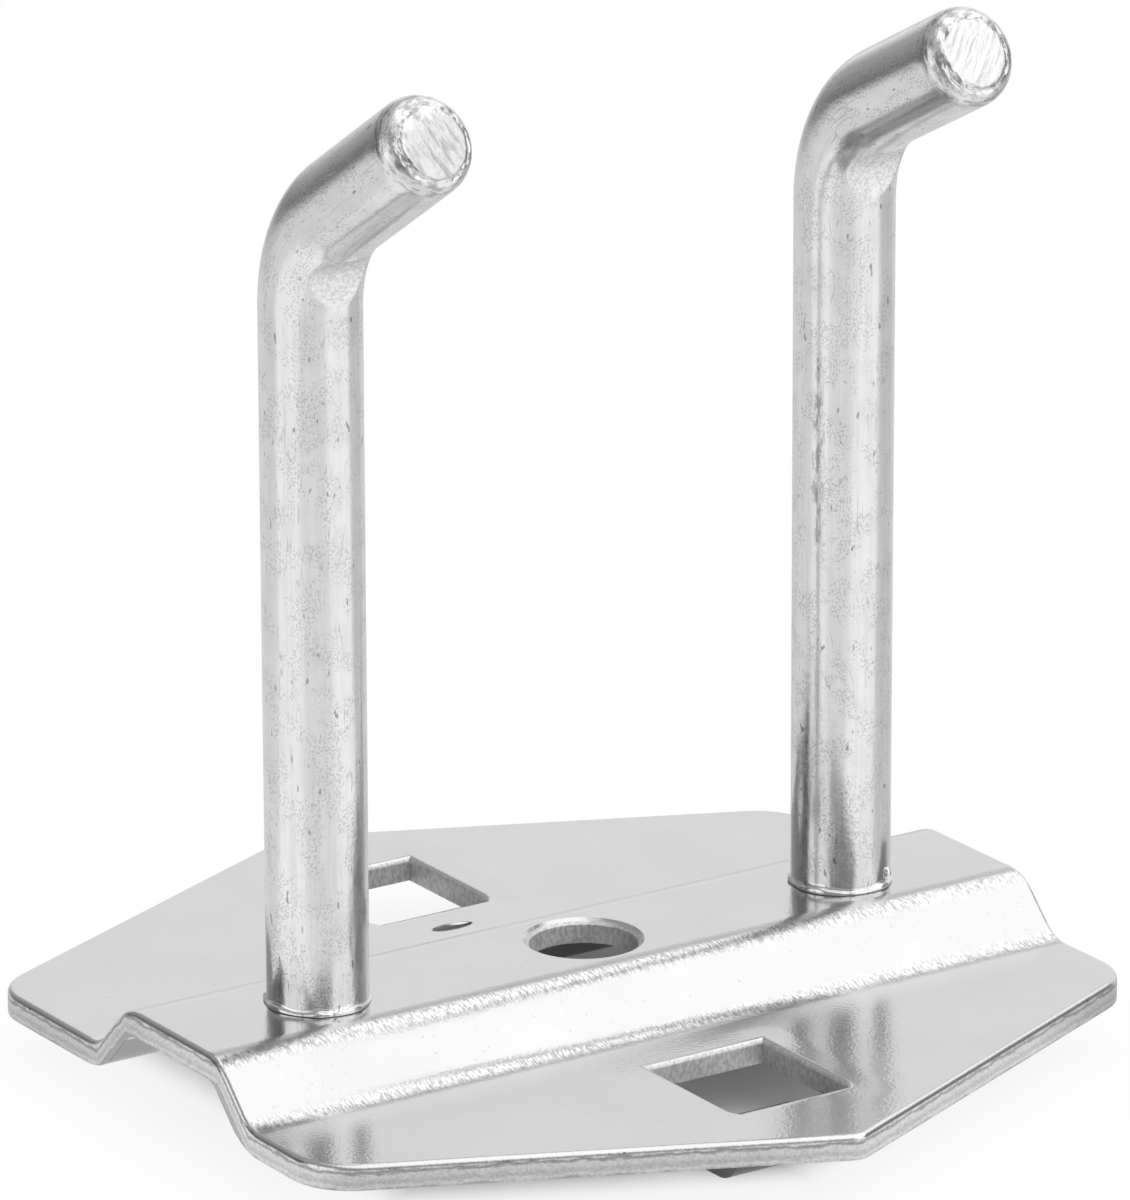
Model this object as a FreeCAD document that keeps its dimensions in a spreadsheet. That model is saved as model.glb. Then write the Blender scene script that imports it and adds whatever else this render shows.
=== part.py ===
import FreeCAD, Part
import os
import Sketcher
from FreeCAD import Vector

doc = FreeCAD.newDocument("PegboardHook")
sizes = doc.addObject("Spreadsheet::Sheet", "Sizes")

# Millimetres and degrees; X along the channel, -Y towards the bent tips, Z out from the board.
values = [
    ("plate_length", 57),
    ("plate_width", 61.6),
    ("end_width", 35.7),
    ("corner_radius", 4),
    ("peak_radius", 1.2),
    ("rim_radius", 0.35),
    ("sheet_thickness", 1.5),
    ("stock_margin", 5),
    ("channel_height", 3.25),
    ("channel_top_width", 10.2),
    ("channel_slope", 45),
    ("channel_offset", 2.2),
    ("top_fold_radius", 1.5),
    ("foot_fold_radius", 2.6),
    ("hole_diameter", 6.5),
    ("window_pitch", 38),
    ("window_width", 8.1),
    ("window_length", 9.7),
    ("window_offset", 0.7),
    ("window_corner_radius", 1.5),
    ("lance_gap", 0.12),
    ("board_gap", 1.5),
    ("tab_reach", 6.4),
    ("tab_fold_radius", 0.5),
    ("rod_diameter", 6),
    ("rod_pitch", 37),
    ("rod_height", 46.2),
    ("right_rod_rise", 1.1),
    ("bend_angle", 57),
    ("right_rod_turn", 5.5),
    ("bend_radius", 8.1),
    ("tip_length", 15.4),
    ("right_rod_trim", 0.8),
    ("tip_chamfer", 0.9),
    ("flash_width", 0.2),
    ("flash_height", 0.35),
    ("die_pin_radius", 2),
    ("die_pin_rise", 1.8),
    ("die_mark_depth", 0.2),
    ("nick_length", 2.8),
    ("nick_width", 1.1),
    ("nick_depth", 0.2),
    ("nick_x", -0.5),
    ("nick_y", 11.3),
]
tolerance = 0.01
for row, (alias, number) in enumerate(values, start=1):
    sizes.set("A%d" % row, alias)
    sizes.set("B%d" % row, str(number))
    sizes.setAlias("B%d" % row, alias)
doc.recompute()


def new_sketch(body, name, role):
    sketch = body.newObject("Sketcher::SketchObject", name)
    plane = next(item for item in body.Origin.OriginFeatures if item.Role == role)
    sketch.AttachmentSupport = [(plane, "")]
    sketch.MapMode = "FlatFace"
    return sketch


def add_polygon(sketch, corners):
    """Closed polygon whose corners follow pairs of expressions."""
    points = [Vector(sketch.evalExpression(x), sketch.evalExpression(y), 0) for x, y in corners]
    count = len(points)
    first = sketch.GeometryCount
    for index in range(count):
        sketch.addGeometry(Part.LineSegment(points[index], points[(index + 1) % count]))
    for index in range(count):
        line = first + index
        following = first + (index + 1) % count
        sketch.addConstraint(Sketcher.Constraint("Coincident", line, 2, following, 1))
    for index, (x, y) in enumerate(corners):
        place_point(sketch, first + index, 1, x, y)


def place_point(sketch, line, end, x, y):
    place_along(sketch, line, end, "DistanceX", x)
    place_along(sketch, line, end, "DistanceY", y)


def place_along(sketch, line, end, kind, text):
    value = float(sketch.evalExpression(text))
    number = sketch.addConstraint(Sketcher.Constraint(kind, -1, 1, line, end, value))
    sketch.setExpression("Constraints[%d]" % number, text)


def add_rounded(sketch, corners):
    """Closed outline of level and upright lines, where a corner with a radius is a tangent arc."""
    points = [Vector(sketch.evalExpression(x), sketch.evalExpression(y), 0) for x, y, radius in corners]
    cuts = [sketch.evalExpression(radius) if radius else 0.0 for x, y, radius in corners]
    count = len(points)
    ways = [(points[(index + 1) % count] - points[index]).normalize() for index in range(count)]
    lines = []
    for index in range(count):
        after = (index + 1) % count
        start = points[index] + ways[index] * cuts[index]
        end = points[after] - ways[index] * cuts[after]
        lines.append(sketch.addGeometry(Part.LineSegment(start, end)))
    for index, (x, y, radius) in enumerate(corners):
        line = lines[index]
        before = lines[index - 1]
        level = abs(ways[index].y) < tolerance
        sketch.addConstraint(Sketcher.Constraint("Horizontal" if level else "Vertical", line))
        place_along(sketch, line, 1, "DistanceY" if level else "DistanceX", y if level else x)
        if not radius:
            sketch.addConstraint(Sketcher.Constraint("Coincident", before, 2, line, 1))
            continue
        into, away = ways[index - 1], ways[index]
        centre = points[index] + (away - into) * cuts[index]
        halfway = centre + (into - away).normalize() * cuts[index]
        first = points[index] - into * cuts[index]
        arc = sketch.addGeometry(Part.Arc(first, halfway, points[index] + away * cuts[index]))
        turns_left = into.cross(away).z > 0
        sketch.addConstraint(Sketcher.Constraint("Tangent", before, 2, arc, 1 if turns_left else 2))
        sketch.addConstraint(Sketcher.Constraint("Tangent", arc, 2 if turns_left else 1, line, 1))
        number = sketch.addConstraint(Sketcher.Constraint("Radius", arc, cuts[index]))
        sketch.setExpression("Constraints[%d]" % number, radius)


def add_circle(sketch, diameter, x, y):
    radius = sketch.evalExpression(diameter) / 2
    centre = Vector(sketch.evalExpression(x), sketch.evalExpression(y), 0)
    circle = sketch.addGeometry(Part.Circle(centre, Vector(0, 0, 1), radius))
    place_point(sketch, circle, 3, x, y)
    number = sketch.addConstraint(Sketcher.Constraint("Diameter", circle, 2 * radius))
    sketch.setExpression("Constraints[%d]" % number, diameter)


def add_pad(body, name, sketch, length):
    pad = body.newObject("PartDesign::Pad", name)
    pad.Profile = sketch
    pad.SideType = "Symmetric"
    pad.setExpression("Length", length)
    doc.recompute()
    return pad


def cut_through(body, name, sketch):
    before = body.Shape.Volume
    pocket = body.newObject("PartDesign::Pocket", name)
    pocket.Profile = sketch
    pocket.SideType = "Symmetric"
    pocket.Type = "ThroughAll"
    doc.recompute()
    if body.Shape.Volume > before - 0.001:
        raise RuntimeError(name + " removes nothing")
    return pocket


def dress_edges(body, kind, name, size_name, size, wanted):
    """Fillet or chamfer over the edges of the tip that the test accepts."""
    tip = body.Tip
    names = ["Edge%d" % number for number, edge in enumerate(tip.Shape.Edges, start=1) if wanted(edge)]
    if not names:
        raise RuntimeError(name + " finds no edge")
    feature = body.newObject(kind, name)
    feature.Base = (tip, names)
    feature.setExpression(size_name, size)
    doc.recompute()


def round_edges(body, name, radius, wanted):
    dress_edges(body, "PartDesign::Fillet", name, "Radius", radius, wanted)


def bevel_edges(body, name, size, wanted):
    dress_edges(body, "PartDesign::Chamfer", name, "Size", size, wanted)


def along(edge, axis):
    if edge.Curve.TypeId != "Part::GeomLine":
        return False
    return abs(edge.Curve.Direction.dot(axis)) > 1 - tolerance


def read(expression):
    return float(sizes.evalExpression(expression.replace("Sizes.", "")))


def belongs(edge, faces):
    return any(edge.isSame(other) for face in faces for other in face.Edges)


def near(edge, places):
    middle = edge.BoundBox.Center
    return any(abs(middle.y - y) < tolerance and abs(middle.z - z) < tolerance for y, z in places)


def is_ring(edge, centre, diameter):
    if edge.Curve.TypeId != "Part::GeomCircle":
        return False
    apart = (edge.Curve.Center - centre).Length
    return apart < tolerance and abs(2 * edge.Curve.Radius - diameter) < tolerance


# Levels above the tabs' undersides.
wing_back = "Sizes.sheet_thickness + Sizes.board_gap"
wing_front = "2 * Sizes.sheet_thickness + Sizes.board_gap"
channel_back = "Sizes.sheet_thickness + Sizes.board_gap + Sizes.channel_height"
channel_front = "2 * Sizes.sheet_thickness + Sizes.board_gap + Sizes.channel_height"

# Mounting plate: the sheet with its raised channel.
plate = doc.addObject("PartDesign::Body", "MountingPlate")
plate.Label = "mounting_plate"

middle = "-Sizes.channel_offset"
shift = "Sizes.sheet_thickness * tan(Sizes.channel_slope / 2)"
top_half = "Sizes.channel_top_width / 2"
foot_half = "(Sizes.channel_top_width / 2 + Sizes.channel_height / tan(Sizes.channel_slope))"
edge_half = "(Sizes.plate_width / 2 + Sizes.stock_margin)"

section = new_sketch(plate, "ChannelSection", "YZ_Plane")
add_polygon(section, [
    ("-" + edge_half, wing_front),
    (middle + " - " + foot_half, wing_front),
    (middle + " - " + top_half, channel_front),
    (middle + " + " + top_half, channel_front),
    (middle + " + " + foot_half, wing_front),
    (edge_half, wing_front),
    (edge_half, wing_back),
    (middle + " + " + foot_half + " - " + shift, wing_back),
    (middle + " + " + top_half + " - " + shift, channel_back),
    (middle + " - " + top_half + " + " + shift, channel_back),
    (middle + " - " + foot_half + " + " + shift, wing_back),
    ("-" + edge_half, wing_back),
])
add_pad(plate, "ChannelSheet", section, "Sizes.plate_length + 2 * Sizes.stock_margin")

x_axis = Vector(1, 0, 0)
folds = [
    ("FootInside", "Sizes.foot_fold_radius", foot_half, wing_front),
    ("FootOutside", "Sizes.foot_fold_radius + Sizes.sheet_thickness", foot_half + " - " + shift, wing_back),
    ("TopInside", "Sizes.top_fold_radius", top_half + " - " + shift, channel_back),
    ("TopOutside", "Sizes.top_fold_radius + Sizes.sheet_thickness", top_half, channel_front),
]
for name, radius, half, level in folds:
    places = [(read(middle + sign + "(" + half + ")"), read(level)) for sign in ("-", "+")]
    round_edges(plate, name + "Folds", radius,
                lambda edge: along(edge, x_axis) and near(edge, places))

# Blanked outline: six sides with a peak over and under the channel.
outline = new_sketch(plate, "BlankOutline", "XY_Plane")
length_half = "Sizes.plate_length / 2"
waste_x = "(Sizes.plate_length / 2 + 2 * Sizes.stock_margin)"
waste_y = "(Sizes.plate_width / 2 + 2 * Sizes.stock_margin)"
add_polygon(outline, [
    ("-" + waste_x, "-" + waste_y),
    (waste_x, "-" + waste_y),
    (waste_x, waste_y),
    ("-" + waste_x, waste_y),
])
add_polygon(outline, [
    ("-" + length_half, "-Sizes.end_width / 2"),
    ("0", "-Sizes.plate_width / 2"),
    (length_half, "-Sizes.end_width / 2"),
    (length_half, "Sizes.end_width / 2"),
    ("0", "Sizes.plate_width / 2"),
    ("-" + length_half, "Sizes.end_width / 2"),
])
cut_through(plate, "TrimToOutline", outline)
z_axis = Vector(0, 0, 1)
round_edges(plate, "OutlineCorners", "Sizes.corner_radius",
            lambda edge: along(edge, z_axis) and abs(edge.BoundBox.Center.x) > 1)
round_edges(plate, "OutlinePeaks", "Sizes.peak_radius",
            lambda edge: along(edge, z_axis) and abs(edge.BoundBox.Center.x) < tolerance)

# Blanking rolls the rim of the front face.
rim_faces = [face for face in plate.Tip.Shape.Faces if abs(face.normalAt(0, 0).z) < 0.001]
front_faces = [face for face in plate.Tip.Shape.Faces if face.normalAt(0, 0).z > 0.1]
round_edges(plate, "RolledRim", "Sizes.rim_radius",
            lambda edge: belongs(edge, rim_faces) and belongs(edge, front_faces))

hole = new_sketch(plate, "ScrewHoleCircle", "XY_Plane")
add_circle(hole, "Sizes.hole_diameter", "0", middle)
cut_through(plate, "ScrewHole", hole)

hole_centre = Vector(0, read(middle), read(channel_front))
bevel_edges(plate, "HoleRim", "Sizes.rim_radius",
            lambda edge: is_ring(edge, hole_centre, read("hole_diameter")))

# Two windows, each with the hook tab that is lanced out of it and folded twice.
for name, sign in (("Upper", "-"), ("Lower", "")):
    row_middle = sign + "Sizes.window_pitch / 2 - Sizes.window_offset"
    near_side = row_middle + " - Sizes.window_length / 2"
    far_side = row_middle + " + Sizes.window_length / 2"
    window = new_sketch(plate, name + "WindowOutline", "XY_Plane")
    add_rounded(window, [
        ("-Sizes.window_width / 2", near_side, "Sizes.window_corner_radius"),
        ("Sizes.window_width / 2", near_side, "Sizes.window_corner_radius"),
        ("Sizes.window_width / 2", far_side, None),
        ("-Sizes.window_width / 2", far_side, None),
    ])
    cut_through(plate, name + "Window", window)
    rows = [(read(far_side), read(wing_front)), (read(near_side), read(wing_front))]
    round_edges(plate, name + "WindowRim", "Sizes.rim_radius",
                lambda edge: along(edge, x_axis) and near(edge, rows))

    tab_back = near_side + " + Sizes.tab_fold_radius"
    tab_front = tab_back + " + Sizes.sheet_thickness"
    tab_end = tab_back + " + Sizes.tab_reach"
    root = near_side + " - Sizes.sheet_thickness"
    outer = "Sizes.tab_fold_radius + Sizes.sheet_thickness"
    profile = new_sketch(plate, name + "TabProfile", "YZ_Plane")
    add_rounded(profile, [
        (root, wing_front, None),
        (tab_front, wing_front, outer),
        (tab_front, "Sizes.sheet_thickness", "Sizes.tab_fold_radius"),
        (tab_end, "Sizes.sheet_thickness", None),
        (tab_end, "0", None),
        (tab_back, "0", outer),
        (tab_back, wing_back, "Sizes.tab_fold_radius"),
        (root, wing_back, None),
    ])
    add_pad(plate, name + "Tab", profile, "Sizes.window_width - 2 * Sizes.lance_gap")

# Nick in the wing behind the channel.
nick = plate.newObject("PartDesign::SubtractiveEllipsoid", "WingNick")
nick.setExpression("Radius1", "Sizes.nick_depth")
nick.setExpression("Radius2", "Sizes.nick_length / 2")
nick.setExpression("Radius3", "Sizes.nick_width / 2")
nick.setExpression("Placement.Base.x", "Sizes.nick_x")
nick.setExpression("Placement.Base.y", "Sizes.nick_y")
nick.setExpression("Placement.Base.z", wing_front)
doc.recompute()

# Hanging rods: each drawn as its own body, standing on the channel.
rods = []
for name, label, sign, height, tilt, reach in (
    ("LeftRod", "left_rod", "-", "Sizes.rod_height", "Sizes.bend_angle", "Sizes.tip_length"),
    ("RightRod", "right_rod", "", "(Sizes.rod_height + Sizes.right_rod_rise)",
     "(Sizes.bend_angle + Sizes.right_rod_turn)", "(Sizes.tip_length - Sizes.right_rod_trim)"),
):
    rod = doc.addObject("PartDesign::Body", name)
    rod.Label = label
    rods.append(rod)
    bend_start = "(" + height + " - Sizes.bend_radius * tan(" + tilt + " / 2))"

    path = new_sketch(rod, name + "Path", "YZ_Plane")
    start = path.evalExpression(bend_start)
    radius = path.evalExpression("Sizes.bend_radius")
    angle = path.evalExpression(tilt)
    end_y = "-" + reach + " * sin(" + tilt + ")"
    end_z = height + " + " + reach + " * cos(" + tilt + ")"
    end = Vector(path.evalExpression(end_y), path.evalExpression(end_z), 0)
    turn = FreeCAD.Rotation(z_axis, angle).multVec(Vector(radius, 0, 0))
    centre = Vector(-radius, start, 0)
    path.addGeometry(Part.LineSegment(Vector(0, 0, 0), Vector(0, start, 0)))
    bend = Part.Circle(centre, z_axis, radius)
    path.addGeometry(Part.ArcOfCircle(bend, 0, bend.parameter(centre + turn)))
    path.addGeometry(Part.LineSegment(centre + turn, end))
    path.addConstraint(Sketcher.Constraint("Coincident", 0, 1, -1, 1))
    path.addConstraint(Sketcher.Constraint("Vertical", 0))
    path.addConstraint(Sketcher.Constraint("Tangent", 0, 2, 1, 1))
    path.addConstraint(Sketcher.Constraint("Tangent", 1, 2, 2, 1))
    rise = path.addConstraint(Sketcher.Constraint("DistanceY", -1, 1, 0, 2, start))
    path.setExpression("Constraints[%d]" % rise, bend_start)
    curve = path.addConstraint(Sketcher.Constraint("Radius", 1, radius))
    path.setExpression("Constraints[%d]" % curve, "Sizes.bend_radius")
    place_point(path, 2, 2, end_y, end_z)

    circle = new_sketch(rod, name + "Section", "XY_Plane")
    add_circle(circle, "Sizes.rod_diameter", "0", "0")
    doc.recompute()
    pipe = rod.newObject("PartDesign::AdditivePipe", name + "Bar")
    pipe.Profile = circle
    pipe.Spine = (path, ["Edge1", "Edge2", "Edge3"])
    doc.recompute()

    # Turned tip.
    tip_point = Vector(0, end.x, end.y)
    bevel_edges(rod, name + "TipChamfer", "Sizes.tip_chamfer",
                lambda edge: is_ring(edge, tip_point, read("rod_diameter")))

    # Scoop that the bending pin pressed into the inside of the bend.
    mark = new_sketch(rod, name + "DiePin", "YZ_Plane")
    add_circle(mark, "2 * Sizes.die_pin_radius",
               "-Sizes.rod_diameter / 2 - Sizes.die_pin_radius + Sizes.die_mark_depth",
               bend_start + " + Sizes.die_pin_rise")
    cut_through(rod, name + "DieMark", mark)

    # Weld flash squeezed out around the foot.
    flash = new_sketch(rod, name + "FlashProfile", "XZ_Plane")
    wall = "Sizes.rod_diameter / 2"
    add_polygon(flash, [
        ("Sizes.rod_diameter / 4", "0"),
        (wall + " + Sizes.flash_width", "0"),
        (wall + " + Sizes.flash_width", "Sizes.flash_height / 2"),
        (wall, "Sizes.flash_height"),
        ("Sizes.rod_diameter / 4", "Sizes.flash_height"),
    ])
    ring = rod.newObject("PartDesign::Revolution", name + "WeldFlash")
    ring.Profile = flash
    ring.ReferenceAxis = (flash, ["V_Axis"])
    ring.Angle = 360
    doc.recompute()

    rod.setExpression("Placement.Base.x", sign + "Sizes.rod_pitch / 2")
    rod.setExpression("Placement.Base.y", middle)
    rod.setExpression("Placement.Base.z", channel_front)

doc.recompute()
for item in doc.Objects:
    if "Invalid" in item.State or "Error" in item.State:
        raise RuntimeError(item.Label + " does not compute")

os.makedirs("parts", exist_ok=True)
for body in [plate] + rods:
    if body.Shape.isNull() or not body.Shape.isValid():
        raise RuntimeError(body.Label + " has no sound solid")
    body.Shape.exportStep("parts/" + body.Label + ".step")
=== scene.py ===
import bpy
import math
from mathutils import Matrix, Vector


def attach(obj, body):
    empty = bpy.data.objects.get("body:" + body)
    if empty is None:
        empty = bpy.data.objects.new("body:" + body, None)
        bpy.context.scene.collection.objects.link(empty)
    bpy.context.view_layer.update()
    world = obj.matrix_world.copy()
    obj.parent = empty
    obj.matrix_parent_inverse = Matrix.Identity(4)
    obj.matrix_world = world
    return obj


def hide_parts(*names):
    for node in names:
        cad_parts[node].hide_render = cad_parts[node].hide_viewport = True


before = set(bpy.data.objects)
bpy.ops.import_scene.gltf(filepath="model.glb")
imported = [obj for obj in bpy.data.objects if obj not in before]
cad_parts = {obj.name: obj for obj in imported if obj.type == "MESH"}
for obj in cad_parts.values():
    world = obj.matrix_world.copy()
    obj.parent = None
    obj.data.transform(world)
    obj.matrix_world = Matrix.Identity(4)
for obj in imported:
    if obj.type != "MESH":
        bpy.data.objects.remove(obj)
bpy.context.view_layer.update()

scene = bpy.context.scene
toMillimetres = (1000, 1000, 1000)
toMetres = (0.001, 0.001, 0.001)
plainWhite = (1, 1, 1, 1)
print("frame loaded:", sorted(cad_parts))


# small helpers for building node trees

def addNode(tree, kind, inputs=None, **settings):
    node = tree.nodes.new(kind)
    for name, value in settings.items():
        setattr(node, name, value)
    setInputs(tree, node, inputs or {})
    return node


def setInputs(tree, node, inputs):
    for name, value in inputs.items():
        if hasattr(value, "is_output"):
            tree.links.new(value, node.inputs[name])
        else:
            node.inputs[name].default_value = value


def doMath(tree, operation, first, second=0.0, third=0.0, clamp=False):
    node = addNode(tree, "ShaderNodeMath", {0: first, 1: second, 2: third},
                   operation=operation, use_clamp=clamp)
    return node.outputs[0]


def plus(tree, first, second):
    return doMath(tree, "ADD", first, second)


def minus(tree, first, second):
    return doMath(tree, "SUBTRACT", first, second)


def times(tree, first, second):
    return doMath(tree, "MULTIPLY", first, second)


def timesPlus(tree, first, second, third):
    return doMath(tree, "MULTIPLY_ADD", first, second, third)


def larger(tree, first, second):
    return doMath(tree, "MAXIMUM", first, second)


def apart(tree, first, second):
    return doMath(tree, "ABSOLUTE", minus(tree, first, second))


def hypotenuse(tree, first, second):
    return doMath(tree, "SQRT", timesPlus(tree, first, first, times(tree, second, second)))


def turnParts(tree, angle):
    return doMath(tree, "COSINE", angle), doMath(tree, "SINE", angle)


def doVector(tree, operation, first, second):
    node = addNode(tree, "ShaderNodeVectorMath", {0: first, 1: second}, operation=operation)
    return node.outputs["Vector"]


def changeVector(tree, operation, vector):
    return addNode(tree, "ShaderNodeVectorMath", {0: vector}, operation=operation).outputs["Vector"]


def stretch(tree, place, scale):
    return doVector(tree, "MULTIPLY", place, scale)


def dotWith(tree, first, second):
    node = addNode(tree, "ShaderNodeVectorMath", {0: first, 1: second}, operation="DOT_PRODUCT")
    return node.outputs["Value"]


def lengthOf(tree, vector):
    return addNode(tree, "ShaderNodeVectorMath", {0: vector}, operation="LENGTH").outputs["Value"]


def joinVector(tree, x, y, z):
    return addNode(tree, "ShaderNodeCombineXYZ", {"X": x, "Y": y, "Z": z}).outputs["Vector"]


def splitVector(tree, vector):
    return addNode(tree, "ShaderNodeSeparateXYZ", {"Vector": vector}).outputs


def smoothRange(tree, value, low, high, outLow=0.0, outHigh=1.0):
    node = addNode(tree, "ShaderNodeMapRange", {"Value": value, "From Min": low, "From Max": high,
                                                "To Min": outLow, "To Max": outHigh},
                   interpolation_type="SMOOTHSTEP")
    return node.outputs["Result"]


def blend(tree, factor, first, second):
    return addNode(tree, "ShaderNodeMix", {0: factor, 2: first, 3: second}).outputs[0]


def addNoise(tree, place, scale, detail=2.0, roughness=0.5):
    node = addNode(tree, "ShaderNodeTexNoise", {"Vector": place, "Scale": scale, "Detail": detail,
                                                "Roughness": roughness})
    return node.outputs["Fac"]


# noises by name, each from its stretch, scale, detail and roughness
def addPatterns(tree, place, patterns):
    return {name: addNoise(tree, stretch(tree, place, scales), *values)
            for name, (scales, *values) in patterns.items()}


def addRamp(tree, value, stops):
    node = addNode(tree, "ShaderNodeValToRGB", {"Fac": value})
    ramp = node.color_ramp
    while len(ramp.elements) < len(stops):
        ramp.elements.new(0.5)
    for element, (position, level) in zip(ramp.elements, stops):
        element.position = position
        element.color = (level, level, level, 1)
    return node.outputs["Color"]


def newGroup(name, inputs, outputs, kind="ShaderNodeTree"):
    group = bpy.data.node_groups.new(name, kind)
    for label, socketKind, value in inputs:
        socket = group.interface.new_socket(label, in_out="INPUT", socket_type=socketKind)
        if value is not None:
            socket.default_value = value
    for label, socketKind in outputs:
        group.interface.new_socket(label, in_out="OUTPUT", socket_type=socketKind)
    return group, group.nodes.new("NodeGroupInput"), group.nodes.new("NodeGroupOutput")


def useGroup(tree, group, inputs):
    return addNode(tree, "ShaderNodeGroup", inputs, node_tree=group).outputs


# shared finish of the zinc plating: broad clouds, orange peel and clustered pits

skinLook = {"cloudDetail": 3.0, "peelDetail": 2.0, "peelRoughness": 0.6, "pitDetail": 1.0, "pitRise": 0.07,
            "flockScale": 0.7, "flockEdge": (0.42, 0.58)}


def buildZincSkin(look):
    group, start, end = newGroup("zincSkin", [
        ("Place", "NodeSocketVector", None),
        ("Cloud Scale", "NodeSocketFloat", 0.2),
        ("Peel Scale", "NodeSocketFloat", 3.0),
        ("Pit Scale", "NodeSocketFloat", 4.5),
        ("Pit Edge", "NodeSocketFloat", 0.64),
    ], [("Clouds", "NodeSocketFloat"), ("Peel", "NodeSocketFloat"), ("Pits", "NodeSocketFloat")])
    sizes = start.outputs
    place, edge = sizes["Place"], sizes["Pit Edge"]
    clouds = addNoise(group, place, sizes["Cloud Scale"], look["cloudDetail"])
    peel = addNoise(group, place, sizes["Peel Scale"], look["peelDetail"], look["peelRoughness"])
    fine = addNoise(group, place, sizes["Pit Scale"], look["pitDetail"])
    pits = smoothRange(group, fine, edge, plus(group, edge, look["pitRise"]))
    flock = smoothRange(group, addNoise(group, place, look["flockScale"]), *look["flockEdge"])
    group.links.new(clouds, end.inputs["Clouds"])
    group.links.new(peel, end.inputs["Peel"])
    group.links.new(times(group, pits, flock), end.inputs["Pits"])
    return group


zincSkin = buildZincSkin(skinLook)


def startMetal(name):
    material = bpy.data.materials.new(name)
    material.use_nodes = True
    shader = material.node_tree.nodes["Principled BSDF"]
    shader.inputs["Metallic"].default_value = 1.0
    return material, material.node_tree, shader


# heights are in millimetres
def finishMetal(tree, shader, tint, rough, height):
    bump = addNode(tree, "ShaderNodeBump", {"Height": height, "Strength": 1.0, "Distance": toMetres[2]})
    tree.links.new(tint, shader.inputs["Base Color"])
    tree.links.new(rough, shader.inputs["Roughness"])
    tree.links.new(bump.outputs["Normal"], shader.inputs["Normal"])


# plate, in millimetres of its own frame; deepShadeEdge, holeEdge, rubCore, nickEdge and nickArc are shares
# of a size, and a pair named edge says where a mask starts and ends

plateValues = {"sizes": {
    "wingFront": 4.5, "channelHeight": 3.25, "channelMiddle": -2.2, "topHalf": 5.1, "footHalf": 8.35,
    "sheet": 1.5, "deepShadeEdge": (1.15, 1.4), "tabEdge": (2.9, 2.6), "rearFoldEdge": (1.2, 0.8),
    "holeRadius": 3.25, "rim": 0.35, "holeEdge": (0.97, 0.93),
    "windowHalfWidth": 4.05, "windowHalfLength": 4.85, "windowRows": (-19.7, 18.3), "windowEdge": (0.2, 0.1),
    "dragStart": 1.5, "dragWidth": 2.2, "dragDepth": 0.05,
    "rubRows": ((-7.2, 0.75), (-10.8, 0.7)), "rubCore": 0.3,
    "nick": (-0.5, 11.3), "nickHalf": (1.4, 0.55), "nickEdge": (1.08, 0.9),
    "nickWay": (-0.6, -0.8, 0.0), "nickArc": (-0.9, -0.7),
}, "look": {
    "skin": {"Cloud Scale": 0.16, "Peel Scale": 4.5, "Pit Scale": 4.0, "Pit Edge": 0.68},
    "bright": 0.73, "dull": 0.63, "pit": 0.4, "pitShare": 0.35, "nickShade": 0.1, "fold": 0.6, "chip": 0.22,
    "worn": (0.42, 0.92), "rubShare": 0.8, "wall": (0.66, 0.88), "wallShade": 0.72,
    "deepShade": 0.3, "tab": 0.14,
    "shear": ((0.0, 0.75), (0.2, 0.72), (0.27, 0.32), (0.33, 0.4), (0.4, 0.68), (0.55, 0.64), (0.66, 0.54),
              (0.76, 0.54), (0.85, 0.68), (0.94, 0.6), (1.0, 0.42)),
    "shearRagged": 0.4, "shearGrain": (0.88, 1.06),
    "roughness": 0.16, "cloudRoughness": 0.05, "rubRoughness": 0.1, "edgeRoughness": 0.32,
    "wallRoughness": 0.6, "peel": 0.012, "rub": 0.008,
}, "patterns": {
    "ragged": ((0.35, 0.35, 1), 2.2, 3.0, 0.65),
    "grain": ((1, 1, 1), 5.5, 2.0, 0.6),
    "torn": ((1, 1, 0.55), 5.0, 3.0, 0.6),
    "strokes": ((1, 0.3, 0.3), 7.0, 2.0, 0.6),
    "patches": ((1, 1, 1), 0.6, 2.0, 0.5),
    "chips": ((1, 1, 1), 1.7, 3.0, 0.6),
}, "edges": {
    "grain": (0.35, 0.6), "torn": (0.36, 0.6), "strokes": (0.36, 0.6), "patches": (0.22, 0.5),
    "chips": (0.66, 0.72), "sheared": (0.5, 0.2), "wall": (0.92, 0.75), "wallSide": (-0.9, -0.4),
    "rubbed": (0.2, 0.5), "rearFoldShade": (0.01, 0.06), "rim": (0.64, 0.5), "rimLevel": (0.4, 0.25),
}}


# 1 inside the windows and the screw hole, which have plain torn walls
def addOpenings(tree, sizes, across, along):
    inside = 0.0
    beside = minus(tree, doMath(tree, "ABSOLUTE", across), sizes["windowHalfWidth"])
    for row in sizes["windowRows"]:
        beyond = minus(tree, apart(tree, along, row), sizes["windowHalfLength"])
        window = smoothRange(tree, larger(tree, beside, beyond), *sizes["windowEdge"])
        inside = larger(tree, inside, window)
    away = hypotenuse(tree, across, minus(tree, along, sizes["channelMiddle"]))
    reach = sizes["holeRadius"] + sizes["rim"]
    hole = smoothRange(tree, away, *(reach * share for share in sizes["holeEdge"]))
    return larger(tree, inside, hole)


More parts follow.
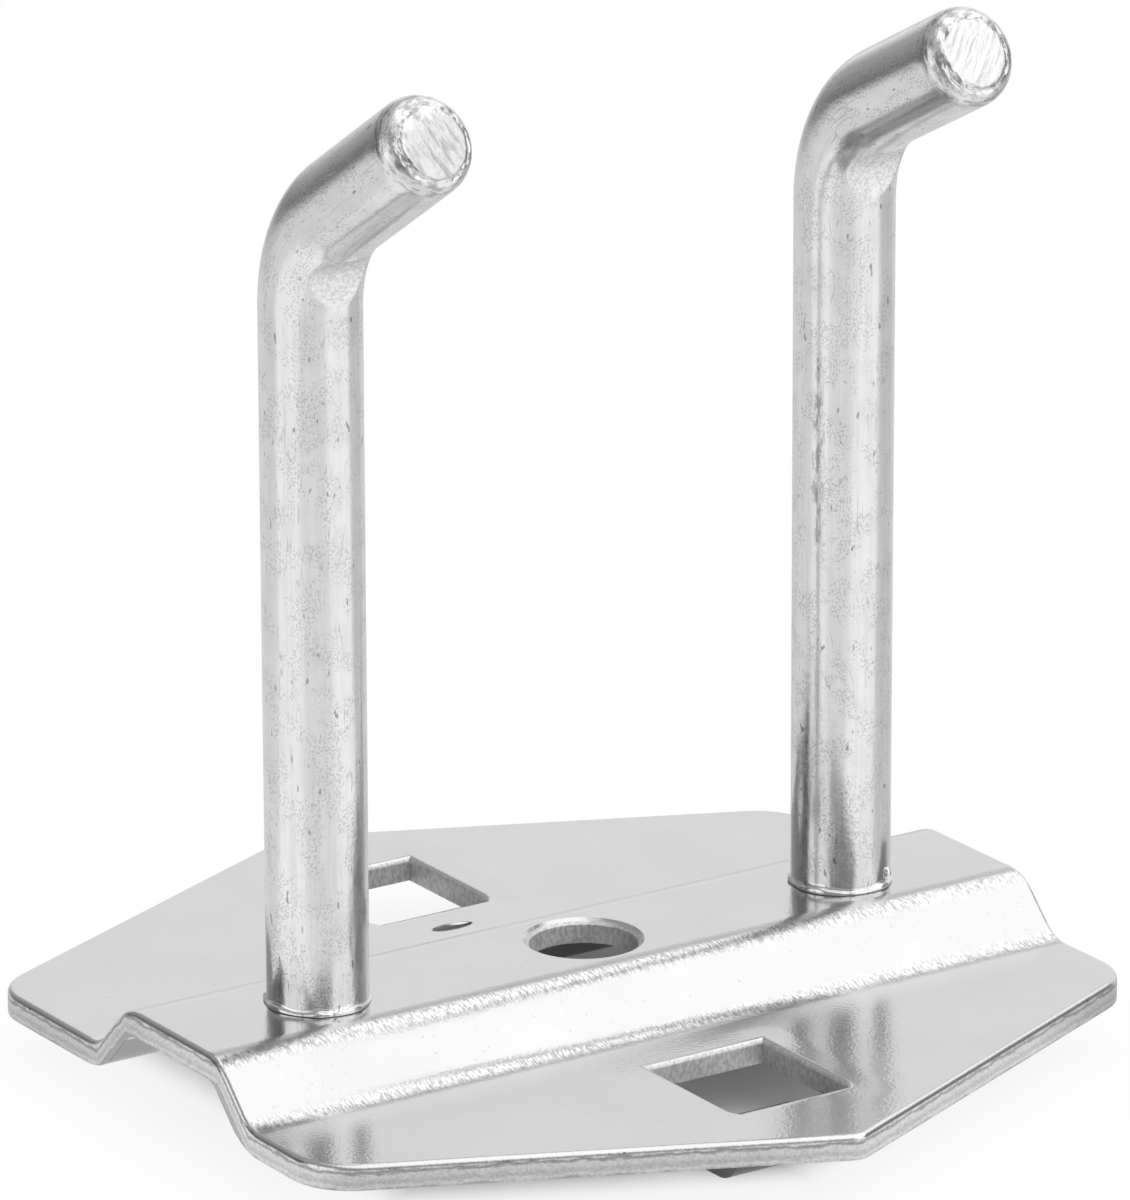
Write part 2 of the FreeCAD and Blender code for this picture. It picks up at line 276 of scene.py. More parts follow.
# the lancing drags the sheet down beside each window
def addDrag(tree, sizes, across, along):
    drag = 0.0
    beside = larger(tree, minus(tree, across, sizes["windowHalfWidth"]), 0.0)
    for row in sizes["windowRows"]:
        beyond = minus(tree, apart(tree, along, row), sizes["windowHalfLength"])
        away = hypotenuse(tree, beside, larger(tree, beyond, 0.0))
        drag = plus(tree, drag, smoothRange(tree, away, sizes["dragWidth"], 0.0))
    drag = times(tree, drag, smoothRange(tree, across, sizes["dragStart"], sizes["windowHalfWidth"]))
    return times(tree, drag, -sizes["dragDepth"])


# painted shade darkens the nick, apart from an arc along its far side
def addNickShade(tree, sizes, place):
    halfLength, halfWidth = sizes["nickHalf"]
    spot = doVector(tree, "SUBTRACT", place, (*sizes["nick"], sizes["wingFront"]))
    spot = stretch(tree, spot, (1 / halfLength, 1 / halfWidth, 0))
    inside = smoothRange(tree, lengthOf(tree, spot), *sizes["nickEdge"])
    return times(tree, inside, smoothRange(tree, dotWith(tree, spot, sizes["nickWay"]), *sizes["nickArc"]))


# depth below the front face, which rises from the wings to the channel's top
def addDepth(tree, sizes, along, up):
    lift = addNode(tree, "ShaderNodeMapRange", {
        "Value": apart(tree, along, sizes["channelMiddle"]), "From Min": sizes["footHalf"],
        "From Max": sizes["topHalf"], "To Min": 0.0, "To Max": sizes["channelHeight"]})
    return minus(tree, plus(tree, lift.outputs["Result"], sizes["wingFront"]), up)


def makePlateZinc(sizes, look, patterns, edges):
    material, tree, shader = startMetal("plateZinc")
    coordinates = addNode(tree, "ShaderNodeTexCoord").outputs
    place = stretch(tree, coordinates["Object"], toMillimetres)
    parts = splitVector(tree, place)
    across, along, up = parts["X"], parts["Y"], parts["Z"]
    normal = splitVector(tree, coordinates["Normal"])
    facing = normal["Z"]
    skin = useGroup(tree, zincSkin, {"Place": place, **look["skin"]})
    noise = addPatterns(tree, place, patterns)

    # depth tells the sheared edges from the folded tabs
    depth = addDepth(tree, sizes, along, up)
    # the parts deep below the front face, the sheet's undersides and the tabs, get painted shade further
    # down, and are rougher
    deepShade = smoothRange(tree, depth, *(sizes["sheet"] * share for share in sizes["deepShadeEdge"]))
    bare = minus(tree, 1.0, deepShade)
    edge = times(tree, smoothRange(tree, doMath(tree, "ABSOLUTE", facing), *edges["sheared"]), bare)
    level = timesPlus(tree, minus(tree, noise["ragged"], 0.5), look["shearRagged"],
                      doMath(tree, "DIVIDE", depth, sizes["sheet"]))
    shear = times(tree, addRamp(tree, level, look["shear"]),
                  smoothRange(tree, noise["grain"], *edges["grain"], *look["shearGrain"]))

    # torn walls, with painted shade on the ones that face left
    wall = smoothRange(tree, noise["torn"], *edges["torn"], *look["wall"])
    wall = times(tree, wall, smoothRange(tree, normal["X"], *edges["wallSide"], look["wallShade"], 1.0))
    inner = times(tree, addOpenings(tree, sizes, across, along), smoothRange(tree, facing, *edges["wall"]))
    inner = times(tree, inner, bare)

    # fine strokes rubbed into both folds of the front slope
    rubbed = 0.0
    for middle, half in sizes["rubRows"]:
        row = smoothRange(tree, apart(tree, along, middle), half, half * sizes["rubCore"])
        rubbed = plus(tree, rubbed, row)
    rubbed = times(tree, rubbed, smoothRange(tree, facing, *edges["rubbed"]))
    rubbed = times(tree, rubbed, smoothRange(tree, noise["patches"], *edges["patches"]))
    worn = smoothRange(tree, noise["strokes"], *edges["strokes"], *look["worn"])

    # painted shade darkens the fold behind the channel's top, where it would show a thin bright line
    rearFoldShade = apart(tree, along, sizes["channelMiddle"] + sizes["topHalf"])
    rearFoldShade = times(tree, smoothRange(tree, rearFoldShade, *sizes["rearFoldEdge"]),
                     smoothRange(tree, normal["Y"], *edges["rearFoldShade"]))

    # chips along the sheared rim
    rim = times(tree, smoothRange(tree, facing, *edges["rim"]), smoothRange(tree, level, *edges["rimLevel"]))
    chips = times(tree, smoothRange(tree, noise["chips"], *edges["chips"]),
                  doMath(tree, "SUBTRACT", rim, rubbed, clamp=True))

    tint = blend(tree, skin["Clouds"], look["dull"], look["bright"])
    tint = blend(tree, times(tree, rubbed, look["rubShare"]), tint, worn)
    tint = blend(tree, times(tree, skin["Pits"], look["pitShare"]), tint, look["pit"])
    tint = blend(tree, addNickShade(tree, sizes, place), tint, look["nickShade"])
    # painted shade on the rear fold
    tint = blend(tree, rearFoldShade, tint, look["fold"])
    tint = blend(tree, edge, tint, shear)
    tint = blend(tree, chips, tint, look["chip"])
    tint = blend(tree, inner, tint, wall)
    # painted shade: the deep parts under the sheet are darkened
    tint = blend(tree, deepShade, tint, look["deepShade"])
    # painted shade: the low tabs under the plate are darkened much further
    tint = blend(tree, smoothRange(tree, up, *sizes["tabEdge"]), tint, look["tab"])

    rough = timesPlus(tree, skin["Clouds"], look["cloudRoughness"],
                      look["roughness"] - look["cloudRoughness"] / 2)
    rough = blend(tree, rubbed, rough, look["roughness"] + look["rubRoughness"])
    rough = blend(tree, larger(tree, edge, deepShade), rough, look["edgeRoughness"])
    rough = blend(tree, inner, rough, look["wallRoughness"])

    height = addDrag(tree, sizes, across, along)
    height = timesPlus(tree, skin["Peel"], look["peel"], height)
    height = timesPlus(tree, times(tree, rubbed, noise["strokes"]), look["rub"], height)
    height = timesPlus(tree, times(tree, edge, noise["grain"]), look["rub"], height)
    finishMetal(tree, shader, tint, rough, height)
    return material


# hanging bars: turned straight in millimetres, cut, bent, then pressed by the bending pin

barSizes = {"Radius": 3.0, "Bend Radius": 8.1, "Lip Width": 0.17, "Lip Height": 0.3,
            "Shoulder Depth": 1.5, "Shoulder Rise": 1.25, "Groove Depth": 0.16,
            "Pin Radius": 2.0, "Pin Rise": 1.8, "Pin Depth": 0.2}
leftBar = {"name": "leftBar", "node": "left_rod", "height": 46.2, "tilt": 57.0, "reach": 15.4,
           "Foot": (-18.5, -2.2, 7.75), "Cut Depth": 0.08, "Cut Lean": (-0.02, 0.05, 0.0), "Cut Turn": 1.9,
           "Bead Place": (-0.74, -3.06, 0.2), "Bead Size": (0.12, 0.1, 0.12), "Seed": 1.0}
rightBar = {"name": "rightBar", "node": "right_rod", "height": 47.3, "tilt": 62.5, "reach": 14.6,
            "Foot": (18.5, -2.2, 7.75), "Cut Depth": 0.07, "Cut Lean": (0.0, 0.01, 0.0), "Cut Turn": 0.9,
            "Bead Place": (1.6, -2.6, 0.8), "Bead Size": (0.26, 0.2, 0.38), "Seed": 2.0}
barForm = {
    "sides": 144, "rings": {"lip": 9, "bar": 270, "shoulder": 40, "cap": 36, "base": 3},
    "beadDetail": 4, "weld": 0.0005,
    "lipTurn": 0.7, "lipRise": (0.608, 0.392), "lipNoise": (1.4, 3.0), "lipEdge": (0.3, 0.7),
    "lipSwell": (0.5, 1.5), "collarEdge": (-1.7, -0.9),
    "scoreStretch": (0.6, 0.6, 3.0), "scoreNoise": (1.2, 3.0, 0.6), "scoreDepth": 0.03,
    "strokeStretch": (0.4, 1.9), "strokeNoise": (1.0, 3.0, 0.65), "strokeHeight": 0.2,
    "cutEdge": (-0.01, 0.03), "grooveStart": (-0.3, -0.06), "grooveEnd": (0.0, -0.05),
    "grooveEdge": (0.4, 0.6),
    "pinNoise": (2.6, 3.0, 0.65), "pinRough": 0.12, "pinEdge": (0.0, 0.05),
    "spacing": 40.0,  # sets the bars' marks apart along X, by seed
}


def ownPlace(tree):
    return addNode(tree, "GeometryNodeInputPosition").outputs["Position"]


def keepAttribute(tree, geometry, name, kind, value):
    node = addNode(tree, "GeometryNodeStoreNamedAttribute", data_type=kind, domain="POINT")
    setInputs(tree, node, {"Geometry": geometry, "Name": name, "Value": value})
    return node.outputs["Geometry"]


def movePoints(tree, geometry, place):
    node = addNode(tree, "GeometryNodeSetPosition", {"Geometry": geometry, "Position": place})
    return node.outputs["Geometry"]


# radius and level of each stretch of rings, from the share of the way along it
def barZones(tree, sizes, form, share, cosine, sine):
    radius, length, rings = sizes["Radius"], sizes["Length"], form["rings"]
    uneven = addNoise(tree, joinVector(tree, cosine, sine, sizes["Seed"]), *form["lipNoise"])
    swell = smoothRange(tree, uneven, *form["lipEdge"], *form["lipSwell"])
    lipTop = times(tree, sizes["Lip Height"], swell)
    lipOut = times(tree, sizes["Lip Width"], swell)
    lipAngle = timesPlus(tree, share, math.pi / 2 + form["lipTurn"], -form["lipTurn"])
    lipCosine, lipSine = turnParts(tree, lipAngle)
    lipShare = timesPlus(tree, lipSine, *form["lipRise"])
    footRadius = timesPlus(tree, lipOut, math.cos(form["lipTurn"]), radius)
    shankTop = minus(tree, length, sizes["Shoulder Rise"])
    roundCosine, roundSine = turnParts(tree, times(tree, share, math.pi / 2))
    shoulderIn = times(tree, sizes["Shoulder Depth"], minus(tree, 1.0, roundCosine))
    shoulderDown = times(tree, sizes["Shoulder Rise"], minus(tree, 1.0, roundSine))
    endRadius = minus(tree, radius, sizes["Shoulder Depth"])
    return [
        (rings["lip"], timesPlus(tree, lipOut, lipCosine, radius), times(tree, lipTop, lipShare)),
        (rings["bar"], radius, blend(tree, share, lipTop, shankTop)),
        (rings["shoulder"], minus(tree, radius, shoulderIn), minus(tree, length, shoulderDown)),
        (rings["cap"], times(tree, endRadius, minus(tree, 1.0, share)), length),
        (rings["base"], times(tree, share, footRadius), 0.0),
    ]


# a straight bar out of rings: weld lip, shank, rounded shoulder, end and foot, with a bead of spatter
def addStraightBar(tree, sizes, form):
    grid = splitVector(tree, ownPlace(tree))
    share = plus(tree, grid["X"], 0.5)
    cosine, sine = turnParts(tree, times(tree, grid["Y"], -2.0 * math.pi))
    join = tree.nodes.new("GeometryNodeJoinGeometry")
    for rings, out, level in barZones(tree, sizes, form, share, cosine, sine):
        sheet = addNode(tree, "GeometryNodeMeshGrid", {"Size X": 1.0, "Size Y": 1.0, "Vertices X": rings,
                                                       "Vertices Y": form["sides"]})
        place = joinVector(tree, times(tree, out, cosine), times(tree, out, sine), level)
        tree.links.new(movePoints(tree, sheet.outputs["Mesh"], place), join.inputs["Geometry"])
    bead = addNode(tree, "GeometryNodeMeshIcoSphere", {"Radius": 1.0, "Subdivisions": form["beadDetail"]})
    bead = addNode(tree, "GeometryNodeTransform", {
        "Geometry": bead.outputs["Mesh"], "Scale": sizes["Bead Size"], "Translation": sizes["Bead Place"]})
    tree.links.new(bead.outputs["Geometry"], join.inputs["Geometry"])
    merged = addNode(tree, "GeometryNodeMergeByDistance", {"Geometry": join.outputs["Geometry"],
                                                           "Distance": form["weld"]})
    return merged.outputs["Geometry"]


# the shoulder is scored round, and a leaning cut with chisel strokes takes the end off
def addCutEnd(tree, geometry, sizes, form):
    place = ownPlace(tree)
    parts = splitVector(tree, place)
    collar = smoothRange(tree, minus(tree, parts["Z"], sizes["Length"]), *form["collarEdge"])
    x, y, z = form["scoreStretch"]
    scorePlace = joinVector(tree, times(tree, parts["X"], x), times(tree, parts["Y"], y),
                            timesPlus(tree, parts["Z"], z, sizes["Seed"]))
    scores = addNoise(tree, scorePlace, *form["scoreNoise"])
    shrink = timesPlus(tree, times(tree, collar, scores), -form["scoreDepth"], 1.0)

    cosine, sine = turnParts(tree, sizes["Cut Turn"])
    along = timesPlus(tree, parts["X"], cosine, times(tree, parts["Y"], sine))
    across = minus(tree, times(tree, parts["Y"], cosine), times(tree, parts["X"], sine))
    x, y = form["strokeStretch"]
    strokePlace = joinVector(tree, times(tree, along, x), times(tree, across, y), sizes["Seed"])
    strokes = addNoise(tree, strokePlace, *form["strokeNoise"])
    lean = dotWith(tree, place, sizes["Cut Lean"])
    plane = minus(tree, plus(tree, sizes["Length"], lean), sizes["Cut Depth"])
    plane = timesPlus(tree, minus(tree, strokes, 0.5), form["strokeHeight"], plane)

    above = minus(tree, parts["Z"], plane)
    groove = times(tree, smoothRange(tree, above, *form["grooveStart"]),
                   smoothRange(tree, above, *form["grooveEnd"]))
    groove = times(tree, groove, smoothRange(tree, scores, *form["grooveEdge"]))
    masks = {"cut": smoothRange(tree, above, *form["cutEdge"]), "collar": collar, "strokes": strokes}
    for name, value in masks.items():
        geometry = keepAttribute(tree, geometry, name, "FLOAT", value)
    level = doMath(tree, "MINIMUM", parts["Z"], plane)
    level = minus(tree, level, times(tree, groove, sizes["Groove Depth"]))
    moved = joinVector(tree, times(tree, parts["X"], shrink), times(tree, parts["Y"], shrink), level)
    return movePoints(tree, geometry, moved)


# the bend turns the bar towards -Y; marks keep their place on the straight bar
def addBend(tree, geometry, sizes, form):
    parts = splitVector(tree, ownPlace(tree))
    shifted = timesPlus(tree, sizes["Seed"], form["spacing"], parts["X"])
    straight = joinVector(tree, shifted, parts["Y"], parts["Z"])
    geometry = keepAttribute(tree, geometry, "straight", "FLOAT_VECTOR", straight)
    radius = sizes["Bend Radius"]
    past = minus(tree, parts["Z"], sizes["Bend Start"])
    angle = doMath(tree, "DIVIDE", larger(tree, past, 0.0), radius)
    cosine, sine = turnParts(tree, doMath(tree, "MINIMUM", angle, sizes["Bend Angle"]))
    run = larger(tree, minus(tree, past, times(tree, radius, sizes["Bend Angle"])), 0.0)
    lever = plus(tree, parts["Y"], radius)  # from the bend's own axis
    y = minus(tree, times(tree, lever, cosine), radius)
    y = minus(tree, y, times(tree, run, sine))
    z = timesPlus(tree, lever, sine, doMath(tree, "MINIMUM", parts["Z"], sizes["Bend Start"]))
    z = timesPlus(tree, run, cosine, z)
    return movePoints(tree, geometry, joinVector(tree, parts["X"], y, z))


# the pin that held the bar in the bending tool leaves a rough scoop
def addPinMark(tree, geometry, sizes, form):
    place = ownPlace(tree)
    reach = minus(tree, plus(tree, sizes["Radius"], sizes["Pin Radius"]), sizes["Pin Depth"])
    pinLevel = plus(tree, sizes["Bend Start"], sizes["Pin Rise"])
    axis = joinVector(tree, 0.0, times(tree, reach, -1.0), pinLevel)
    gap = stretch(tree, doVector(tree, "SUBTRACT", place, axis), (0, 1, 1))
    press = minus(tree, sizes["Pin Radius"], lengthOf(tree, gap))
    mark = smoothRange(tree, press, *form["pinEdge"])
    rough = minus(tree, addNoise(tree, place, *form["pinNoise"]), 0.5)
    depth = timesPlus(tree, times(tree, mark, rough), form["pinRough"], larger(tree, press, 0.0))
    geometry = keepAttribute(tree, geometry, "scoop", "FLOAT", mark)
    push = addNode(tree, "ShaderNodeVectorMath", {0: changeVector(tree, "NORMALIZE", gap), "Scale": depth},
                   operation="SCALE").outputs["Vector"]
    return movePoints(tree, geometry, doVector(tree, "ADD", place, push))


def buildBarTree(form):
    numbers = ("Radius", "Length", "Bend Start", "Bend Radius", "Bend Angle", "Lip Width", "Lip Height",
               "Shoulder Depth", "Shoulder Rise", "Groove Depth", "Cut Depth", "Cut Turn", "Pin Radius",
               "Pin Rise", "Pin Depth", "Seed")
    vectors = ("Foot", "Cut Lean", "Bead Place", "Bead Size")
    inputs = [(label, "NodeSocketFloat", None) for label in numbers]
    inputs += [(label, "NodeSocketVector", None) for label in vectors]
    inputs += [("Finish", "NodeSocketMaterial", None)]
    tree, start, end = newGroup("bentBar", inputs, [("Geometry", "NodeSocketGeometry")], "GeometryNodeTree")
    sizes = start.outputs
    geometry = addStraightBar(tree, sizes, form)
    geometry = addCutEnd(tree, geometry, sizes, form)
    geometry = addBend(tree, geometry, sizes, form)
    geometry = addPinMark(tree, geometry, sizes, form)
    placed = addNode(tree, "GeometryNodeTransform", {
        "Geometry": geometry, "Translation": stretch(tree, sizes["Foot"], toMetres), "Scale": toMetres})
    smooth = addNode(tree, "GeometryNodeSetShadeSmooth", {"Geometry": placed.outputs["Geometry"]})
    real = addNode(tree, "GeometryNodeRealizeInstances", {"Geometry": smooth.outputs["Geometry"]})
    coated = addNode(tree, "GeometryNodeSetMaterial", {"Geometry": real.outputs["Geometry"],
                                                       "Material": sizes["Finish"]})
    tree.links.new(coated.outputs["Geometry"], end.inputs["Geometry"])
    return tree


def makeBar(tree, shared, own, finish):
    tilt = math.radians(own["tilt"])
    tangent = shared["Bend Radius"] * math.tan(tilt / 2)
    bendStart = own["height"] - tangent
    values = {**shared, **own, "Bend Angle": tilt, "Bend Start": bendStart, "Finish": finish,
              "Length": bendStart + shared["Bend Radius"] * tilt + own["reach"] - tangent}
    bar = bpy.data.objects.new(own["name"], bpy.data.meshes.new(own["name"] + "Start"))
    scene.collection.objects.link(bar)
    modifier = bar.modifiers.new("bentBar", "NODES")
    modifier.node_group = tree
    for item in tree.interface.items_tree:
        if item.in_out == "INPUT":
            modifier[item.identifier] = values[item.name]
    evaluated = bar.evaluated_get(bpy.context.evaluated_depsgraph_get())
    mesh = bpy.data.meshes.new_from_object(evaluated)
    bar.modifiers.remove(modifier)
    bar.data = mesh
    mesh.name = own["name"]
    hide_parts(own["node"])
    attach(bar, "root")
    print(own["name"], "has", len(mesh.polygons), "faces")


# the bars' finish reads their own attributes; struck tints are for the left end and the right one, the right
# one lighter as painted light

rodValues = {"look": {
    "skin": {"Cloud Scale": 0.6, "Peel Scale": 2.6, "Pit Scale": 8.5, "Pit Edge": 0.53},
    "skinStretch": (1, 1, 0.75),
    "bright": 0.83, "dull": 0.74, "cloudShare": 0.5, "pit": 0.58, "pitShare": 0.75, "fleck": 0.36,
    "scratch": 0.46, "scratchShare": 0.6, "scuff": 0.36, "scuffShare": 0.8, "collar": (0.42, 0.8),
    "struckDark": (0.56, 0.88), "struckBright": (0.8, 0.95), "scoop": (0.75, 0.98), "seam": 0.25,
    "scuffPlace": (77.3, -1.27, 27.0), "scuffHalf": (0.55, 0.55, 8.0),
    "roughness": 0.18, "drawnRoughness": 0.12, "collarRoughness": 0.1, "rawRoughness": 0.5,
    "peel": 0.008, "drawn": 0.005, "rawBump": 0.02, "pitDepth": 0.005,
}, "patterns": {
    "drawn": ((1, 1, 0.04), 3.5, 4.0, 0.7),
    "flecks": ((1, 1, 0.4), 2.8, 1.0, 0.5),
    "slow": ((1, 1, 0.13), 1.1, 2.0, 0.5),
    "patches": ((1, 1, 1), 0.4, 1.0, 0.5),
    "scuffed": ((1, 1, 0.3), 3.5, 3.0, 0.65),
    "chips": ((1, 1, 1), 4.5, 3.0, 0.7),
    "turned": ((0.8, 0.8, 3.0), 1.6, 3.0, 0.65),
}, "edges": {
    "mottle": (0.55, 0.95), "flecks": (0.7, 0.78), "hair": (0.012, 0.003), "patches": (0.53, 0.65),
    "scuff": (1.0, 0.4), "scuffed": (0.45, 0.6), "turned": (0.36, 0.56), "struck": (0.38, 0.52),
    "scoop": (0.38, 0.58), "seam": (0.07, 0.02), "right": (50.0, 70.0),
}}


def makeRodZinc(look, patterns, edges):
    material, tree, shader = startMetal("rodZinc")
    place = addNode(tree, "ShaderNodeAttribute", attribute_name="straight").outputs["Vector"]
    masks = {name: addNode(tree, "ShaderNodeAttribute", attribute_name=name).outputs["Fac"]
             for name in ("cut", "scoop", "collar", "strokes")}
    parts = splitVector(tree, place)
    onRight = smoothRange(tree, parts["X"], *edges["right"])
    skin = useGroup(tree, zincSkin, {"Place": stretch(tree, place, look["skinStretch"]), **look["skin"]})
    noise = addPatterns(tree, place, patterns)
    flecks = smoothRange(tree, noise["flecks"], *edges["flecks"])

    # hair scratches follow the level lines of a slow noise, in patches
    scratches = times(tree, smoothRange(tree, apart(tree, noise["slow"], 0.5), *edges["hair"]),
                      smoothRange(tree, noise["patches"], *edges["patches"]))

    # a long scuff down the right bar's left side
    spot = doVector(tree, "SUBTRACT", place, look["scuffPlace"])
    spot = doVector(tree, "DIVIDE", spot, look["scuffHalf"])
    scuff = times(tree, smoothRange(tree, lengthOf(tree, spot), *edges["scuff"]),
                  smoothRange(tree, noise["scuffed"], *edges["scuffed"]))

    mottle = timesPlus(tree, skin["Clouds"], look["cloudShare"], noise["drawn"])
    turned = smoothRange(tree, noise["turned"], *edges["turned"], *look["collar"])
    # painted light: the right bar's struck end is tinted lighter than the left bar's
    struck = smoothRange(tree, masks["strokes"], *edges["struck"], blend(tree, onRight, *look["struckDark"]),
                         blend(tree, onRight, *look["struckBright"]))
    pressed = smoothRange(tree, noise["chips"], *edges["scoop"], *look["scoop"])
    tint = blend(tree, smoothRange(tree, mottle, *edges["mottle"]), look["dull"], look["bright"])
    tint = blend(tree, times(tree, skin["Pits"], look["pitShare"]), tint, look["pit"])
    tint = blend(tree, flecks, tint, look["fleck"])
    tint = blend(tree, times(tree, scuff, look["scuffShare"]), tint, look["scuff"])
    tint = blend(tree, times(tree, scratches, look["scratchShare"]), tint, look["scratch"])
    tint = blend(tree, masks["collar"], tint, turned)
    tint = blend(tree, masks["cut"], tint, struck)
    tint = blend(tree, masks["scoop"], tint, pressed)
    tint = blend(tree, smoothRange(tree, parts["Z"], *edges["seam"]), tint, look["seam"])

    raw = larger(tree, masks["cut"], masks["scoop"])
    rough = timesPlus(tree, noise["drawn"], look["drawnRoughness"],
                      look["roughness"] - look["drawnRoughness"] / 2)
    rough = blend(tree, masks["collar"], rough, look["roughness"] + look["collarRoughness"])
    rough = blend(tree, raw, rough, look["rawRoughness"])

    height = times(tree, skin["Peel"], look["peel"])
    height = timesPlus(tree, noise["drawn"], look["drawn"], height)
    height = timesPlus(tree, times(tree, masks["collar"], noise["turned"]), look["rawBump"], height)
    height = timesPlus(tree, skin["Pits"], -look["pitDepth"], height)
    height = timesPlus(tree, scratches, -look["pitDepth"], height)
    height = timesPlus(tree, times(tree, raw, noise["chips"]), look["rawBump"], height)
    finishMetal(tree, shader, tint, rough, height)
    return material


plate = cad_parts["mounting_plate"]
plate.data.materials.clear()
plate.data.materials.append(makePlateZinc(**plateValues))
barTree = buildBarTree(barForm)
rodZinc = makeRodZinc(**rodValues)
for own in (leftBar, rightBar):
    makeBar(barTree, barSizes, own, rodZinc)
print("plate and bars finished")


# camera

shot = {"azimuth": -33.557, "elevation": 18.082, "roll": -0.165, "distance": 0.584488,
        "aim": (0.008786, 0.012921, 0.023003), "focalPixels": 9714.4, "frameHeight": 1200,
        "sensor": 36.0, "clip": (0.01, 50.0)}


def makeCamera(values):
    turn, lift = math.radians(values["azimuth"]), math.radians(values["elevation"])
    back = Vector((math.sin(turn) * math.cos(lift), -math.cos(turn) * math.cos(lift), math.sin(lift)))
    data = bpy.data.cameras.new("camera")
    data.sensor_width = values["sensor"]
    data.lens = values["focalPixels"] / values["frameHeight"] * data.sensor_width
    data.clip_start, data.clip_end = values["clip"]
    camera = bpy.data.objects.new("camera", data)
    scene.collection.objects.link(camera)
    look = (-back).to_track_quat("-Z", "Y").to_matrix().to_4x4()
    roll = Matrix.Rotation(math.radians(values["roll"]), 4, "Z")
    stand = Matrix.Translation(Vector(values["aim"]) + back * values["distance"])
    camera.matrix_world = stand @ look @ roll
    scene.camera = camera


# studio: panels stand around the object; angles are degrees from the camera's side, to its right

studio = {
    "panels": ((-180, 0.95), (-166, 0.95), (-152, 0.45), (-112, 0.2), (-84, 0.08), (-76, 1.25), (-30, 1.25),
               (-22, 0.3), (28, 0.3), (36, 1.3), (84, 1.3), (92, 0.2), (126, 0.3), (142, 0.95), (180, 0.95)),
    "table": ((-180, 0.7), (-160, 0.74), (-130, 0.8), (-82, 0.8), (-74, 1.04), (-32, 1.04), (-24, 0.87),
              (24, 0.87), (32, 1.06), (84, 1.06), (92, 0.66), (130, 0.66), (146, 0.8), (160, 0.72),
              (180, 0.7)),
    "strongest": 2.0, "panelTop": (0.42, 0.62),
    "dome": 0.4, "box": 1.02, "boxEdge": (0.46, 0.78), "boxWay": (0.53, -0.31, 0.79),
}


# light by the angle around the object, kept in the ramp as a share of the strongest
def buildPanels(name, stops, strongest, turn):
    group, start, end = newGroup(name, [("Way", "NodeSocketVector", None)], [("Light", "NodeSocketFloat")])
    way = start.outputs["Way"]
    ahead = dotWith(group, way, (math.sin(turn), -math.cos(turn), 0.0))
    aside = dotWith(group, way, (math.cos(turn), math.sin(turn), 0.0))
    share = timesPlus(group, doMath(group, "ARCTAN2", aside, ahead), 0.5 / math.pi, 0.5)
    light = addRamp(group, share, [(0.5 + degrees / 360.0, level / strongest) for degrees, level in stops])
    group.links.new(times(group, light, strongest), end.inputs["Light"])
    return group


# the panels' ring, and above it a dim dome with one soft box
def makeWorld(look, panels):
    world = bpy.data.worlds.new("studio")
    scene.world = world
    world.use_nodes = True
    tree = world.node_tree
    background = tree.nodes["Background"]
    background.inputs["Color"].default_value = plainWhite
    way = addNode(tree, "ShaderNodeTexCoord").outputs["Generated"]
    ring = useGroup(tree, panels, {"Way": way})["Light"]
    box = smoothRange(tree, dotWith(tree, way, look["boxWay"]), *look["boxEdge"])
    above = timesPlus(tree, box, look["box"], look["dome"])
    high = smoothRange(tree, splitVector(tree, way)["Z"], *look["panelTop"])
    tree.links.new(blend(tree, high, ring, above), background.inputs["Strength"])


# sides roughly follow the plate's outline: weights of X and Y in one quarter, and the reach in millimetres

floorSizes = {"half": 3.0, "colour": (0.93, 0.93, 0.93, 1), "roughness": 0.9, "tableReach": (0.15, 0.5),
              "farShade": 0.72, "sides": ((1.0, 0.0, 27.0), (0.4137, 0.9105, 28.04)),
              "shadeEdge": (-10.0, -4.0), "deep": 0.04, "haloEdge": (-6.0, 9.0), "halo": (0.86, 1.0)}


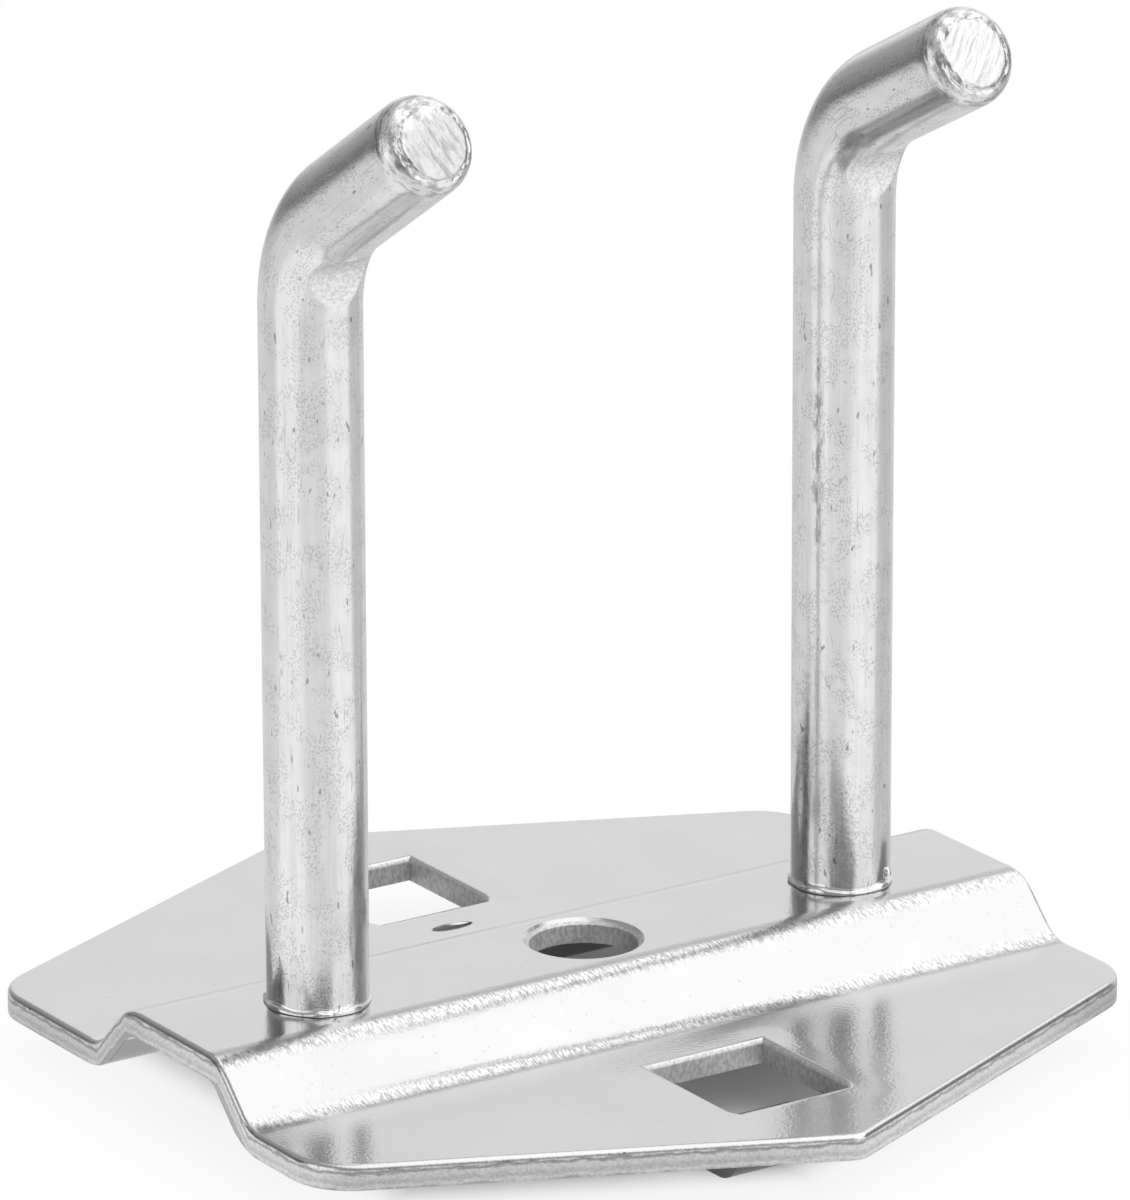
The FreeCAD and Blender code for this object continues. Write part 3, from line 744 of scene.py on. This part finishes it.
# share of plain white over the floor's own shade: little deep under the plate, all of it clear of the plate
def addClearing(tree, sizes, place):
    flat = stretch(tree, place, (*toMillimetres[:2], 0))
    quarter = changeVector(tree, "ABSOLUTE", flat)
    outside = -sizes["half"] * toMillimetres[0]
    for x, y, reach in sizes["sides"]:
        outside = larger(tree, outside, minus(tree, dotWith(tree, quarter, (x, y, 0)), reach))
    return times(tree, smoothRange(tree, outside, *sizes["shadeEdge"], sizes["deep"], 1.0),
                 smoothRange(tree, outside, *sizes["haloEdge"], *sizes["halo"]))


# white to the camera; to metal the floor glows with a painted sheen of the panels near the object, and with
# the panels themselves, dimmed, far out
def makeFloor(sizes, panels, table):
    half = sizes["half"]
    corners = [(-half, -half, 0), (half, -half, 0), (half, half, 0), (-half, half, 0)]
    mesh = bpy.data.meshes.new("floor")
    mesh.from_pydata(corners, [], [(0, 1, 2, 3)])
    floor = bpy.data.objects.new("floor", mesh)
    scene.collection.objects.link(floor)
    material = bpy.data.materials.new("floorWhite")
    material.use_nodes = True
    tree = material.node_tree
    shader = tree.nodes["Principled BSDF"]
    shader.inputs["Base Color"].default_value = sizes["colour"]
    shader.inputs["Roughness"].default_value = sizes["roughness"]
    shader.inputs["Specular IOR Level"].default_value = 0.0
    rays = addNode(tree, "ShaderNodeLightPath").outputs
    place = addNode(tree, "ShaderNodeTexCoord").outputs["Object"]
    clear = addClearing(tree, sizes, place)
    white = addNode(tree, "ShaderNodeEmission", {"Color": plainWhite, "Strength": 1.0})
    seen = times(tree, rays["Is Camera Ray"], clear)
    first = addNode(tree, "ShaderNodeMixShader", {0: seen, 1: shader.outputs[0], 2: white.outputs[0]})
    near = useGroup(tree, table, {"Way": place})["Light"]
    far = times(tree, useGroup(tree, panels, {"Way": place})["Light"], sizes["farShade"])
    light = blend(tree, smoothRange(tree, lengthOf(tree, place), *sizes["tableReach"]), near, far)
    sheen = addNode(tree, "ShaderNodeEmission", {"Color": plainWhite, "Strength": light})
    glossy = times(tree, rays["Is Glossy Ray"], clear)
    second = addNode(tree, "ShaderNodeMixShader", {0: glossy, 1: first.outputs[0], 2: sheen.outputs[0]})
    tree.links.new(second.outputs[0], tree.nodes["Material Output"].inputs["Surface"])
    mesh.materials.append(material)


cameraTurn = math.radians(shot["azimuth"])
panels = buildPanels("panels", studio["panels"], studio["strongest"], cameraTurn)
table = buildPanels("table", studio["table"], studio["strongest"], cameraTurn)
makeWorld(studio, panels)
makeFloor(floorSizes, panels, table)
makeCamera(shot)
scene.view_settings.view_transform = "Standard"
print("studio ready")
